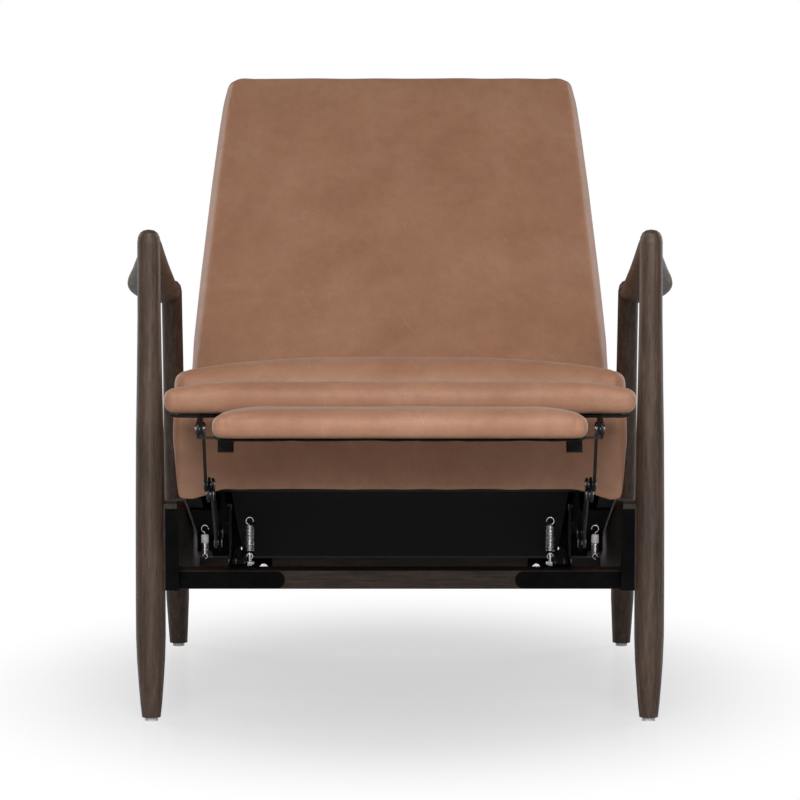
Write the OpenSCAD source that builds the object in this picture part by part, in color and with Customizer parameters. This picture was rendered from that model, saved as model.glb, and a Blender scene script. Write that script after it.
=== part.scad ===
// Push-back reclining armchair, drawn reclined with the footrest out.
// Millimetres. X to the sitter's left, Y to the rear, Z up, floor at Z = 0.
// Side-view points are [y, z] with y = 0 at the front legs' centre plane.

/* [Node] */
// Sub-part to show

/* [Frame] */
// Distance from the middle to each leg's centre
leg_x = 326; // [320:1:340]
// Height of the front legs' domed tops
front_leg_top = 644; // [630:1:650]
// Rear leg foot centre behind the front legs
rear_foot_y = 660; // [650:1:680]
// Rake of the rear legs in degrees
rear_rake = 14.4; // [13:0.1:16]
// Inner face of the side rails
rail_in = 291; // [290:0.5:292]
// Thickness of the side rails
rail_t = 24; // [22:1:26]
// Height of the side rails
rail_h = 118; // [110:1:119]
// Radius of the floor glides
glide_r = 8.5; // [7:0.5:10]

/* [Seat] */
// Reclined seat tilt in degrees
seat_tilt = 15; // [14.8:0.1:15.2]
// Half width of the seat cushion
seat_half = 300; // [294:1:300]
// Seat cushion thickness at its middle
seat_cushion_t = 80; // [70:1:80]
// Length of the seat cushion
seat_len = 416; // [400:1:416]

/* [Back] */
// Length of the back cushion above the hinge corner
back_len = 687; // [650:1:700]
// Thickness of the back cushion
back_cushion_t = 91; // [88:1:94]

/* [Footrest] */
// Half width of the wide pad
pad_half = 297.5; // [285:0.5:298]
// Length of the wide pad front to back
pad_len = 208; // [196:1:208]
// Half width of the narrow pad
flip_half = 227.5; // [218:0.5:227.5]
// Length of the narrow pad front to back
flip_len = 175; // [160:1:175]

/* [Mechanism] */
// Steel plate thickness of the linkage
steel = 3; // [2.8:0.1:3]
// Pivot rivet radius
rivet_r = 4; // [3.5:0.1:4]
// Radial running clearance on a rivet
run = 0.05; // [0.02:0.01:0.1]
// Radial clearance where a closed loop is left open
open_gap = 3.6; // [3.2:0.1:4]

/* [Hidden] */
mid_y = 309;
wood = [0.24, 0.19, 0.16];
ply = [0.70, 0.56, 0.40];
hide = [0.66, 0.47, 0.37];
black = [0.07, 0.07, 0.07];
zinc = [0.72, 0.72, 0.74];
$fn = 48;

seat_o = [0, 305];
pad_o = [-128, 434];
pad_tilt = 6;
flip_o = [-340, 423.5];
flip_tilt = 4;
back_o = [480, 347];
back_tilt = 45;

// pivots of the seat swing, reclined
base_front = [163, 190];
base_rear = [492, 146];
seat_front = [148, 267];
seat_rear = [405, 235];
// pivots of the footrest linkage, reclined
low_a = [-31, 252];
ctl_off = [-21.9, -9.8];
low_b = [-141.26, 326.37];
top_in_pad = [-70, -38];
flip_in_pad = [-112, -39];
top_b = out_of(top_in_pad, pad_o, pad_tilt);
flip_pin = out_of(flip_in_pad, pad_o, pad_tilt);
back_pin = [511.1, 259.3];

// inner faces of the linkage layers
x_base = 222;
x_swing = 226.5;
x_plate = 231;
x_low = 236;
x_mid = 240.5;
x_up = 245;
x_foot = 249.5;

// ---- helpers ----

// a tilted part's own point, as a side-view point
function out_of(p, origin, tilt) =
  [origin[0] + p[0] * cos(tilt) + p[1] * sin(tilt), origin[1] - p[0] * sin(tilt) + p[1] * cos(tilt)];

// a side-view point, in a tilted part's own axes
function into(p, origin, tilt) =
  [(p[0] - origin[0]) * cos(tilt) - (p[1] - origin[1]) * sin(tilt),
   (p[0] - origin[0]) * sin(tilt) + (p[1] - origin[1]) * cos(tilt)];

module frame() {
  translate([0, -mid_y, 0]) children();
}

module at(p, tilt) {
  translate([0, p[0] - mid_y, p[1]]) rotate([-tilt, 0, 0]) children();
}

// side-view outline pushed out along +X from x0
module side(x0, t) {
  translate([x0, 0, 0]) rotate([90, 0, 90]) linear_extrude(height = t) children();
}

// front-view outline pushed out along +Y from y0
module facing(y0, t) {
  translate([0, y0 + t, 0]) rotate([90, 0, 0]) linear_extrude(height = t) children();
}

module both() {
  children();
  mirror([1, 0, 0]) children();
}

module bar(p, q, r) {
  a = atan2(q[1] - p[1], q[0] - p[0]);
  n = 16;
  polygon(concat(
    [for (i = [0 : n]) q + r * [cos(a - 90 + i * 180 / n), sin(a - 90 + i * 180 / n)]],
    [for (i = [0 : n]) p + r * [cos(a + 90 + i * 180 / n), sin(a + 90 + i * 180 / n)]]));
}

module hole(p, r) {
  translate(p) circle(r = r);
}

// rivet along X: shaft x0 to x1, head thickness h0 and h1 outside each end
module rivet(p, x0, x1, h0, h1) {
  translate([x0, p[0], p[1]]) rotate([0, 90, 0]) cylinder(r = rivet_r, h = x1 - x0);
  if (h0 > 0) translate([x0 - h0, p[0], p[1]]) rotate([0, 90, 0]) cylinder(r = 7, h = h0);
  if (h1 > 0) translate([x1, p[0], p[1]]) rotate([0, 90, 0]) cylinder(r = 7, h = h1);
}

// ---- wooden frame ----

front_leg_line = [[12.3, 5], [14.4, 24], [16.3, 48], [18.4, 80], [19.5, 112], [19.6, 160],
  [19.2, 260], [18.2, 370], [16.6, 450], [15.3, 530], [15, front_leg_top - 16],
  [14.2, front_leg_top - 10], [11.6, front_leg_top - 4.6], [7, front_leg_top - 1.2]];
rear_leg_line = [[12.6, -8], [14.6, 30], [16.6, 70], [17.2, 110], [17, 180], [16, 300],
  [14.8, 420], [14.5, 543], [13, 551], [9.5, 556], [5, 558.4]];

// a turned leg from its [radius, height] points, all round larger by gap
module turned(line, top, gap) {
  rotate_extrude($fn = 64)
    polygon(concat([[0, line[0][1]]], [for (p = line) [p[0] + gap, p[1]]], [[0, top + gap]]));
}

module front_leg_solid(gap = 0) {
  translate([leg_x, 0, 0]) turned(front_leg_line, front_leg_top, gap);
}

module rear_leg_solid(gap = 0) {
  difference() {
    translate([leg_x, rear_foot_y, 5]) rotate([rear_rake, 0, 0]) turned(rear_leg_line, 559, gap);
    translate([leg_x - 30, rear_foot_y - 40, -15]) cube([60, 80, 20]);
  }
}

// glue line round an arm's ends
glue = 0.06;

module arm_slice(y, x, w, z, t, a) {
  translate([x, y, z]) rotate([-a, 0, 0]) scale([w / 2, 1, t / 2])
    rotate([90, 0, 0]) cylinder(r = 1, h = 2, center = true, $fn = 40);
}

// [y, x, width, z, thickness, slope] down the arm
arm_pts = [[2, 326, 28, 624, 33, 4], [70, 328, 30, 617, 33, 8], [155, 332, 36, 601, 33, 12],
  [265, 339, 51, 576, 32, 14], [375, 345.5, 67, 551, 30, 12], [475, 344, 61, 534, 27, 8],
  [556, 338, 48, 524, 24, 6]];

module arm_solid() {
  difference() {
    for (i = [0 : len(arm_pts) - 2]) {
      hull() {
        arm_slice(arm_pts[i][0], arm_pts[i][1], arm_pts[i][2], arm_pts[i][3],
          arm_pts[i][4], arm_pts[i][5]);
        arm_slice(arm_pts[i + 1][0], arm_pts[i + 1][1], arm_pts[i + 1][2],
          arm_pts[i + 1][3], arm_pts[i + 1][4], arm_pts[i + 1][5]);
      }
    }
    front_leg_solid(glue);
    rear_leg_solid(glue);
  }
}

module rail_solid() {
  drop = 0.105;
  difference() {
    side(rail_in, rail_t)
      polygon([[-8, 173], [641, 173 - 649 * drop], [611, 172 + rail_h - 619 * drop],
        [2, 172 + rail_h - 1], [-5, 172 + rail_h - 4], [-8, 172 + rail_h - 10]]);
    front_leg_solid();
    rear_leg_solid();
  }
}

module front_leg_l() { color(wood) frame() front_leg_solid(); }
module front_leg_r() { color(wood) mirror([1, 0, 0]) frame() front_leg_solid(); }
module rear_leg_l() { color(wood) frame() rear_leg_solid(); }
module rear_leg_r() { color(wood) mirror([1, 0, 0]) frame() rear_leg_solid(); }
module arm_l() { color(wood) frame() arm_solid(); }
module arm_r() { color(wood) mirror([1, 0, 0]) frame() arm_solid(); }
module side_rail_l() { color(wood) frame() rail_solid(); }
module side_rail_r() { color(wood) mirror([1, 0, 0]) frame() rail_solid(); }

bolt_x = 198;
bolt_y = 46;
bolt_r = 3;
rear_bolt_z = 124;

module front_stretcher() {
  color(wood) frame() difference() {
    translate([-rail_in, 14, 172]) cube([2 * rail_in, 44, 24]);
    both() translate([bolt_x, bolt_y, 170]) cylinder(r = bolt_r, h = 30);
  }
}

module rear_stretcher() {
  color(wood) frame() difference() {
    translate([-rail_in, 600, 110]) cube([2 * rail_in, 20, 28]);
    both() translate([bolt_x, 595, rear_bolt_z]) rotate([-90, 0, 0]) cylinder(r = bolt_r, h = 30);
  }
}

module foot_glides() {
  color(zinc) frame() both() {
    translate([leg_x, 0, 0]) cylinder(r = glide_r, h = 5);
    translate([leg_x, rear_foot_y, 0]) cylinder(r = glide_r, h = 5);
  }
}

module corner_brackets() {
  color(black) frame() both() {
    facing(11.5, 2.5) {
      translate([162, 173]) square([rail_in - 162, 22]);
      translate([162, 184]) circle(r = 11);
    }
    translate([rail_in - 2.5, -8, 173]) cube([2.5, 19.5, 22]);
    translate([rail_in - 2.5, -10.5, 173]) cube([17.5, 2.5, 107]);
  }
}

// ---- mechanism base ----

module base_solid() {
  side(x_base, steel) difference() {
    polygon([[14, 196], [58, 196], [80, 176], [163, 173], [492, 129], [600, 112], [600, 137],
      [492, 163], [300, 188], [163, 207], [110, 204], [20, 203], [14, 200]]);
    hole(base_front, rivet_r);
    hole(base_rear, rivet_r);
  }
  difference() {
    translate([186, 14, 196]) cube([x_base - 186, 44, steel]);
    translate([bolt_x, bolt_y, 190]) cylinder(r = bolt_r, h = 20);
  }
  difference() {
    translate([186, 600 - steel, 112]) cube([x_base - 186, steel, 25]);
    translate([bolt_x, 590, rear_bolt_z]) rotate([-90, 0, 0]) cylinder(r = bolt_r, h = 20);
  }
}

module mechanism_base_l() { color(black) frame() base_solid(); }
module mechanism_base_r() { color(black) mirror([1, 0, 0]) frame() base_solid(); }

module base_rivets() {
  color(zinc) frame() both() {
    rivet(base_front, x_base, x_swing + steel + 0.1, 2, 1.1);
    rivet(base_rear, x_base, x_swing + steel + 0.1, 2, 1.1);
  }
}

module stretcher_bolts() {
  color(zinc) frame() both() {
    translate([bolt_x, bolt_y, 172]) cylinder(r = bolt_r, h = 27);
    translate([bolt_x, bolt_y, 168.5]) cylinder(r = 7, h = 3.5);
    translate([bolt_x, bolt_y, 199]) cylinder(r = 5.5, h = 5, $fn = 6);
    translate([bolt_x, 600 - steel, rear_bolt_z]) rotate([-90, 0, 0]) cylinder(r = bolt_r, h = 20 + steel);
    translate([bolt_x, 600 - steel - 4, rear_bolt_z]) rotate([-90, 0, 0]) cylinder(r = 6, h = 4);
    translate([bolt_x, 620, rear_bolt_z]) rotate([-90, 0, 0]) cylinder(r = 6, h = 3.5);
  }
}

module spring_hook(z, r) {
  translate([0, 0, z]) rotate([0, 90, 0]) rotate_extrude() translate([r, 0]) circle(r = 1.4, $fn = 20);
}

module tension_springs() {
  color(zinc) frame() both() {
    translate([bolt_x, bolt_y, 0]) {
      translate([0, 0, 204]) cylinder(r = 2.6, h = 14);
      translate([0, 0, 216]) cylinder(r = 6.2, h = 40);
      spring_hook(261, 6);
    }
    translate([257, bolt_y, 0]) {
      translate([0, 0, 196]) cylinder(r = 2.6, h = 30);
      translate([0, 0, 206]) cylinder(r = 4.6, h = 14);
      translate([0, 0, 226]) cylinder(r = 6, h = 14);
      translate([0, 0, 240]) cylinder(r = 1.6, h = 12);
      spring_hook(255, 5);
    }
  }
}

module front_swing_links() {
  color(black) frame() both() side(x_swing, steel) difference() {
    bar(base_front, seat_front, 11);
    hole(base_front, rivet_r + run);
    hole(seat_front, rivet_r + run);
  }
}

module rear_swing_links() {
  color(black) frame() both() side(x_swing, steel) difference() {
    bar(base_rear, seat_rear, 11.5);
    hole(base_rear, rivet_r + run);
    hole(seat_rear, rivet_r + open_gap);
  }
}

// ---- seat, in its own tilted axes: y back, z up from the front bottom edge ----

box_h = 100;
board_in = 264;
board_out = 284;
plate_gap = 221;
hinge_uw = into(back_pin, seat_o, seat_tilt);

module seat_at() {
  at(seat_o, seat_tilt) children();
}

module side_board_solid() {
  side(board_in, board_out - board_in) difference() {
    union() {
      polygon([[3, 0], [402, 0], [402, -27], [455, -27], [519, 76], [498, 104], [440, box_h],
        [3, box_h]]);
      translate(hinge_uw) circle(r = 18);
    }
    hole(hinge_uw, rivet_r);
  }
}

module seat_side_board_l() { color(ply) seat_at() side_board_solid(); }
module seat_side_board_r() { color(ply) mirror([1, 0, 0]) seat_at() side_board_solid(); }

module seat_front_board() {
  color(ply) seat_at() translate([-board_in, 3, 0]) cube([2 * board_in, 20, 97]);
}

module seat_rear_board() {
  color(ply) seat_at() facing(450, 20)
    polygon([[-plate_gap, -27], [plate_gap, -27], [plate_gap, 45], [board_in, 45],
      [board_in, 95], [-board_in, 95], [-board_in, 45], [-plate_gap, 45]]);
}

module rear_corner_blocks() {
  color(ply) seat_at() both() translate([x_plate, 450, -27]) cube([board_in - x_plate, 20, 72]);
}

module seat_webbing() {
  color(black) seat_at() for (u = [44, 118, 192, 266, 340])
    translate([-board_in, u, 97]) cube([2 * board_in, 50, 3]);
}

module seat_cushion() {
  t = seat_cushion_t;
  color(hide) seat_at() side(-seat_half, 2 * seat_half)
    polygon([[0, box_h], [seat_len, box_h], [seat_len, box_h + t - 26], [seat_len - 8, box_h + t - 16],
      [seat_len - 30, box_h + t - 10], [260, box_h + t - 2], [60, box_h + t], [30, box_h + t - 2],
      [12, box_h + t - 9], [3, box_h + t - 20], [0, box_h + t - 34]]);
}

module seat_apron() {
  color(hide) seat_at() facing(0, 3)
    polygon([[-289, 0], [289, 0], [298, 40], [298, box_h], [-298, box_h], [-298, 40]]);
}

module cheek_solid() {
  side(board_out, 298 - board_out)
    polygon([[3, 40], [140, 40], [210, box_h], [3, box_h]]);
}

module seat_cheek_l() { color(hide) seat_at() cheek_solid(); }
module seat_cheek_r() { color(hide) mirror([1, 0, 0]) seat_at() cheek_solid(); }

module dust_cover() {
  color(black) seat_at() side(-plate_gap, 2 * plate_gap)
    polygon([[23, 0], [450, -27], [450, -24.5], [23, 2.5]]);
}

module seat_plate_solid() {
  difference() {
    side(x_plate, steel) difference() {
      union() {
        polygon([[-42.5, -66], [-31, -84], [-6, -67], [60, -34], [175, -20], [430, 12],
          [430, 56], [385, 58], [150, 22], [24, 20], [24, 0], [2, -2], [-24, -50]]);
        translate([-16.2, -59.2]) circle(r = 12);
        translate([-34.8, -74.4]) circle(r = 11);
      }
    }
    rotate([seat_tilt, 0, 0]) translate([0, -seat_o[0], -seat_o[1]]) {
      side(x_plate - 1, steel + 2) {
        hole(low_a, rivet_r);
        hole(low_a + ctl_off, rivet_r);
        hole(seat_front, rivet_r);
        hole(seat_rear, rivet_r);
      }
    }
  }
  translate([x_plate + steel, 168, -3]) cube([board_out - 2 - x_plate - steel, 232, 3]);
}

module seat_side_plate_l() { color(black) seat_at() seat_plate_solid(); }
module seat_side_plate_r() { color(black) mirror([1, 0, 0]) seat_at() seat_plate_solid(); }

module seat_rivets() {
  color(zinc) frame() both() {
    rivet(seat_front, x_swing - 0.1, x_plate + steel, 1.1, 1.6);
    rivet(seat_rear, x_swing - 0.1, x_plate + steel, 1.1, 1.6);
    rivet(low_a, x_plate, x_low + steel + 0.1, 1.4, 1.2);
    rivet(low_a + ctl_off, x_plate, x_low + steel + 0.1, 1.4, 1.2);
  }
}

module torque_tube() {
  color(black) seat_at() translate([-x_plate, 200, 12]) rotate([0, 90, 0])
    cylinder(r = 8, h = 2 * x_plate);
}

module back_pivot_bolts() {
  color(zinc) frame() both() {
    translate([board_in - 3, back_pin[0], back_pin[1]]) rotate([0, 90, 0]) cylinder(r = 9, h = 3);
    translate([board_in, back_pin[0], back_pin[1]]) rotate([0, 90, 0]) cylinder(r = rivet_r, h = 23.6);
    translate([board_out + 3.6, back_pin[0], back_pin[1]]) rotate([0, 90, 0]) cylinder(r = 8, h = 1.8);
  }
}

// ---- footrest linkage ----

module lower_solid() {
  side(x_low, steel) difference() {
    bar(low_a, low_b, 9);
    hole(low_a, rivet_r + run);
    hole(low_b, rivet_r + run);
  }
}

module lower_link_l() { color(black) frame() lower_solid(); }
module lower_link_r() { color(black) mirror([1, 0, 0]) frame() lower_solid(); }

module lower_control_links() {
  color(black) frame() both() side(x_low, steel) difference() {
    bar(low_a + ctl_off, low_b + ctl_off, 8);
    hole(low_a + ctl_off, rivet_r + run);
    hole(low_b + ctl_off, rivet_r + 0.3);
  }
}

module mid_plates() {
  color(black) frame() both() side(x_mid, steel) difference() {
    bar(low_b, low_b + ctl_off, 10);
    hole(low_b, rivet_r);
    hole(low_b + ctl_off, rivet_r);
  }
}

module mid_rivets() {
  color(zinc) frame() both() {
    rivet(low_b, x_low - 0.1, x_up + steel + 0.1, 1.1, 1.1);
    rivet(low_b + ctl_off, x_low - 0.1, x_mid + steel, 1.1, 0.9);
  }
}

module upper_solid() {
  side(x_up, steel) difference() {
    bar(low_b, top_b, 9);
    hole(low_b, rivet_r + run);
    hole(top_b, rivet_r + run);
  }
}

module upper_link_l() { color(black) frame() upper_solid(); }
module upper_link_r() { color(black) mirror([1, 0, 0]) frame() upper_solid(); }

module pad_at() {
  at(pad_o, pad_tilt) children();
}

pad_bottom = -20.5;

module ottoman_solid() {
  side(x_foot, steel) difference() {
    union() {
      polygon([[-10, pad_bottom], [-10, -27], [-63, -48], [-112, -50.5], [-112, -28],
        [-96, pad_bottom]]);
      translate(top_in_pad) circle(r = 12);
      translate(flip_in_pad) circle(r = 12);
    }
    hole(top_in_pad, rivet_r);
    hole(flip_in_pad, rivet_r);
  }
  translate([x_foot + steel, -90, pad_bottom - 3]) cube([284 - x_foot - steel, 90, 3]);
}

module ottoman_bracket_l() { color(black) pad_at() ottoman_solid(); }
module ottoman_bracket_r() { color(black) mirror([1, 0, 0]) pad_at() ottoman_solid(); }

module ottoman_rivets() {
  color(zinc) pad_at() both() {
    rivet(top_in_pad, x_up - 0.1, x_foot + steel, 1.1, 2);
    rivet(flip_in_pad, x_up - 0.1, x_foot + steel, 1.1, 2);
  }
}

module footrest_board() {
  color(black) pad_at() translate([-285, -96, pad_bottom]) cube([570, 192, 12]);
}

module footrest_cushion() {
  r = 14.5;
  color(hide) pad_at() facing(-pad_len / 2, pad_len) {
    translate([-pad_half + r, -8.5]) square([2 * pad_half - 2 * r, 2 * r]);
    translate([-pad_half + r, -8.5 + r]) circle(r = r);
    translate([pad_half - r, -8.5 + r]) circle(r = r);
  }
}

flip_uw = into(flip_pin, flip_o, flip_tilt);

module flip_at() {
  at(flip_o, flip_tilt) children();
}

module flipper_solid() {
  side(x_up, steel) difference() {
    union() {
      translate(flip_uw) circle(r = 9);
      polygon([[flip_uw[0], flip_uw[1] - 9], [84, -21], [71, -21], [71, -16], [86, -7],
        [flip_uw[0], flip_uw[1] + 9]]);
    }
    hole(flip_uw, rivet_r + run);
  }
  translate([200, 71, -21]) cube([x_up - 200, 5, 3]);
  translate([200, 20, -21]) cube([26, 51, 3]);
}

module flipper_bracket_l() { color(black) flip_at() flipper_solid(); }
module flipper_bracket_r() { color(black) mirror([1, 0, 0]) flip_at() flipper_solid(); }

module flipper_board() {
  color(black) flip_at() translate([-216, -80, -18]) cube([432, 160, 10]);
}

module flipper_cushion() {
  r = 13;
  color(hide) flip_at() facing(-flip_len / 2, flip_len) {
    translate([-flip_half + r, -8]) square([2 * flip_half - 2 * r, 2 * r]);
    translate([-flip_half + r, -8 + r]) circle(r = r);
    translate([flip_half - r, -8 + r]) circle(r = r);
  }
}

module care_tags() {
  color(black) flip_at() both() translate([206, 84.6, -40]) cube([26, 0.6, 22]);
}

// ---- back, in its own tilted axes: y into the back, z up along its face ----

back_half = [[-20, 296], [100, 299], [300, 290], [480, 281], [600, 273]];

module back_at() {
  at(back_o, back_tilt) children();
}

module back_outline(inset, v0, v1) {
  polygon(concat(
    [for (p = back_half) [p[1] - inset, max(p[0], v0)]],
    [[263 - inset, v1 - 12], [250 - inset, v1], [-250 + inset, v1], [-263 + inset, v1 - 12]],
    [for (i = [len(back_half) - 1 : -1 : 0]) [inset - back_half[i][1], max(back_half[i][0], v0)]]));
}

block_in = 254.5;
block_out = 284.5;

module back_hinge_blocks() {
  color(ply) back_at() both() translate([block_in, 55, -20])
    cube([block_out - block_in, back_cushion_t - 55, 150]);
}

module back_cushion() {
  color(hide) back_at() difference() {
    facing(0, back_cushion_t) back_outline(0, -20, back_len);
    both() translate([block_in, 55, -21]) cube([60, 40, 151]);
  }
}

module back_board() {
  color(ply) back_at() facing(back_cushion_t, 12) back_outline(24, -20, back_len - 20);
}

module back_outer_panel() {
  color(hide) back_at() facing(back_cushion_t + 12, 7) back_outline(2, -20, back_len - 2);
}

module hinge_plate_solid() {
  side(block_out, 3) difference() {
    union() {
      translate([84, -40]) circle(r = 14);
      polygon([[70, -40], [98, -40], [90, 110], [62, 110]]);
    }
    hole([84, -40], rivet_r + run);
  }
}

module back_hinge_plate_l() { color(black) back_at() hinge_plate_solid(); }
module back_hinge_plate_r() { color(black) mirror([1, 0, 0]) back_at() hinge_plate_solid(); }

front_leg_l();
front_leg_r();
rear_leg_l();
rear_leg_r();
arm_l();
arm_r();
side_rail_l();
side_rail_r();
front_stretcher();
rear_stretcher();
foot_glides();
corner_brackets();
mechanism_base_l();
mechanism_base_r();
base_rivets();
stretcher_bolts();
tension_springs();
front_swing_links();
rear_swing_links();
seat_side_board_l();
seat_side_board_r();
seat_front_board();
seat_rear_board();
rear_corner_blocks();
seat_webbing();
seat_cushion();
seat_apron();
seat_cheek_l();
seat_cheek_r();
dust_cover();
seat_side_plate_l();
seat_side_plate_r();
seat_rivets();
torque_tube();
back_pivot_bolts();
lower_link_l();
lower_link_r();
lower_control_links();
mid_plates();
mid_rivets();
upper_link_l();
upper_link_r();
ottoman_bracket_l();
ottoman_bracket_r();
ottoman_rivets();
footrest_board();
footrest_cushion();
flipper_bracket_l();
flipper_bracket_r();
flipper_board();
flipper_cushion();
care_tags();
back_hinge_plate_l();
back_hinge_plate_r();
back_hinge_blocks();
back_board();
back_cushion();
back_outer_panel();
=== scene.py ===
"""Looks of a push-back reclining armchair: leather, walnut frame and black steel linkage."""

import math

import bmesh
import bpy
from mathutils import Matrix, Vector, noise


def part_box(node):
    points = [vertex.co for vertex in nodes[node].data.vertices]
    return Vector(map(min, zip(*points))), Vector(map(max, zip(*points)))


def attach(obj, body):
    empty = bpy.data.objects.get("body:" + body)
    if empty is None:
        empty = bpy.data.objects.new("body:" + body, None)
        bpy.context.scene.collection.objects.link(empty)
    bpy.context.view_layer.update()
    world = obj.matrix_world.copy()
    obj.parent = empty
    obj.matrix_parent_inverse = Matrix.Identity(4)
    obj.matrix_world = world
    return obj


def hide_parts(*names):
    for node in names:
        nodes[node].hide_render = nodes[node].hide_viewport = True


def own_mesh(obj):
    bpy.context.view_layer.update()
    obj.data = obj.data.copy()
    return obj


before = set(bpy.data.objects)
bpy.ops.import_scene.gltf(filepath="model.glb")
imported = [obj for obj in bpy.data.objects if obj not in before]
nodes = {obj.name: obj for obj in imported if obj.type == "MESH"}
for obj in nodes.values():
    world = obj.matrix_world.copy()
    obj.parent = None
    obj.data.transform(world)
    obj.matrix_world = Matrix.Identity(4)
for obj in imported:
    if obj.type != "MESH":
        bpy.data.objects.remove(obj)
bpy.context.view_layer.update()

MM = 0.001
leg_low, leg_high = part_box("front_leg_l")
LEG_Y = (leg_low.y + leg_high.y) / 2    # front legs' centre plane: all y sizes in mm start there


# ---- materials ----

class Shader:
    """One node material: short calls to add nodes and link them."""

    def __init__(self, name):
        self.material = bpy.data.materials.new(name)
        self.material.use_nodes = True
        self.tree = self.material.node_tree
        self.surface = self.tree.nodes["Principled BSDF"]
        self.place = self.tree.nodes.new("ShaderNodeTexCoord").outputs["Object"]

    def add(self, kind, values=None, **settings):
        made = self.tree.nodes.new(kind)
        for key, value in settings.items():
            setattr(made, key, value)
        for key, value in (values or {}).items():
            if isinstance(value, bpy.types.NodeSocket):
                self.tree.links.new(value, made.inputs[key])
            else:
                made.inputs[key].default_value = value
        return made

    def stretched(self, scale, turn=(0, 0, 0)):
        """Object coordinates scaled by so many repeats a metre along each axis."""
        turned = self.add("ShaderNodeMapping", {"Vector": self.place, "Rotation": turn}).outputs[0]
        return self.add("ShaderNodeMapping", {"Vector": turned, "Scale": scale}).outputs[0]

    def noise(self, scale, detail=4.0, turn=(0, 0, 0), distortion=0.0, roughness=0.55):
        spread = self.stretched(scale, turn)
        made = self.add("ShaderNodeTexNoise", {"Vector": spread, "Scale": 1.0, "Detail": detail,
                                               "Distortion": distortion, "Roughness": roughness})
        return made.outputs["Fac"]

    def ramp(self, source, stops):
        """A colour ramp; stops are (position, colour) pairs and grey stops may be one number."""
        made = self.add("ShaderNodeValToRGB", {"Fac": source})
        elements = made.color_ramp.elements
        while len(elements) < len(stops):
            elements.new(0.5)
        for element, (position, colour) in zip(elements, stops):
            element.position = position
            grey = (colour,) * 3 if isinstance(colour, (int, float)) else colour
            element.color = (*grey, 1.0)
        return made.outputs["Color"]

    def mix(self, how, amount, first, second):
        made = self.add("ShaderNodeMix", data_type="RGBA", blend_type=how)
        for key, value in ((0, amount), (6, first), (7, second)):
            if isinstance(value, bpy.types.NodeSocket):
                self.tree.links.new(value, made.inputs[key])
            else:
                made.inputs[key].default_value = value if key == 0 else (*value, 1.0)
        return made.outputs[2]

    def join(self, how, first, second):
        return self.add("ShaderNodeMath", {0: first, 1: second}, operation=how).outputs[0]

    def bump(self, height, strength, distance, below=None):
        values = {"Height": height, "Strength": strength, "Distance": distance}
        if below is not None:
            values["Normal"] = below
        return self.add("ShaderNodeBump", values).outputs[0]

    def finish(self, **sockets):
        """Sets the shader's sockets, by name with _ for each space."""
        for key, value in sockets.items():
            target = self.surface.inputs[key.replace("_", " ")]
            if isinstance(value, bpy.types.NodeSocket):
                self.tree.links.new(value, target)
            else:
                target.default_value = value
        return self.material


# Noise scales are in repeats a metre, bump distances in metres.
LONG, TIGHT = 14, 190    # wood grain along the board and across it
GRAIN = {"x": (LONG, TIGHT, TIGHT), "y": (TIGHT, LONG, TIGHT), "z": (TIGHT, TIGHT, LONG)}
PORE_SCALE = 4.5         # pores are so many times finer than the grain
WALNUT_STOPS = [(0.30, (0.040, 0.021, 0.013)), (0.50, (0.070, 0.040, 0.025)),
                (0.72, (0.118, 0.071, 0.046))]


def walnut(name, along, depth=1.0):
    """Dark brown stained walnut, its straight grain along one axis; a low depth darkens it and
    dulls its coat, as painted shade.
    """
    s = Shader(name)
    grain = s.noise(GRAIN[along], detail=7, distortion=0.25, roughness=0.62)
    stops = [(at, tuple(depth * v for v in shade)) for at, shade in WALNUT_STOPS]
    tone = s.ramp(grain, stops)
    pores = s.noise(tuple(PORE_SCALE * v for v in GRAIN[along]), detail=3, roughness=0.6)
    streak = s.ramp(pores, [(0.36, 0.42), (0.50, 1.0)])
    broad = s.ramp(s.noise((7, 7, 7), detail=2), [(0.3, 0.82), (0.7, 1.12)])
    colour = s.mix("MULTIPLY", 0.75, tone, streak)
    colour = s.mix("MULTIPLY", 0.8, colour, broad)
    rough = s.ramp(grain, [(0.25, 0.62), (0.75, 0.46)])
    relief = s.bump(pores, 0.35, 0.0004)
    return s.finish(Base_Color=colour, Roughness=rough, Normal=relief, Coat_Weight=0.10 * depth,
                    Coat_Roughness=0.38, Specular_IOR_Level=0.5 * depth)


LEATHER_STOPS = [(0.30, (0.312, 0.146, 0.080)), (0.50, (0.345, 0.168, 0.096)),
                 (0.72, (0.376, 0.194, 0.115))]
SCRATCH_SHADE = (0.52, 0.33, 0.23)
SCRATCH_SHOWS = 0.12    # share of the scratch shade in the faint marks


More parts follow.
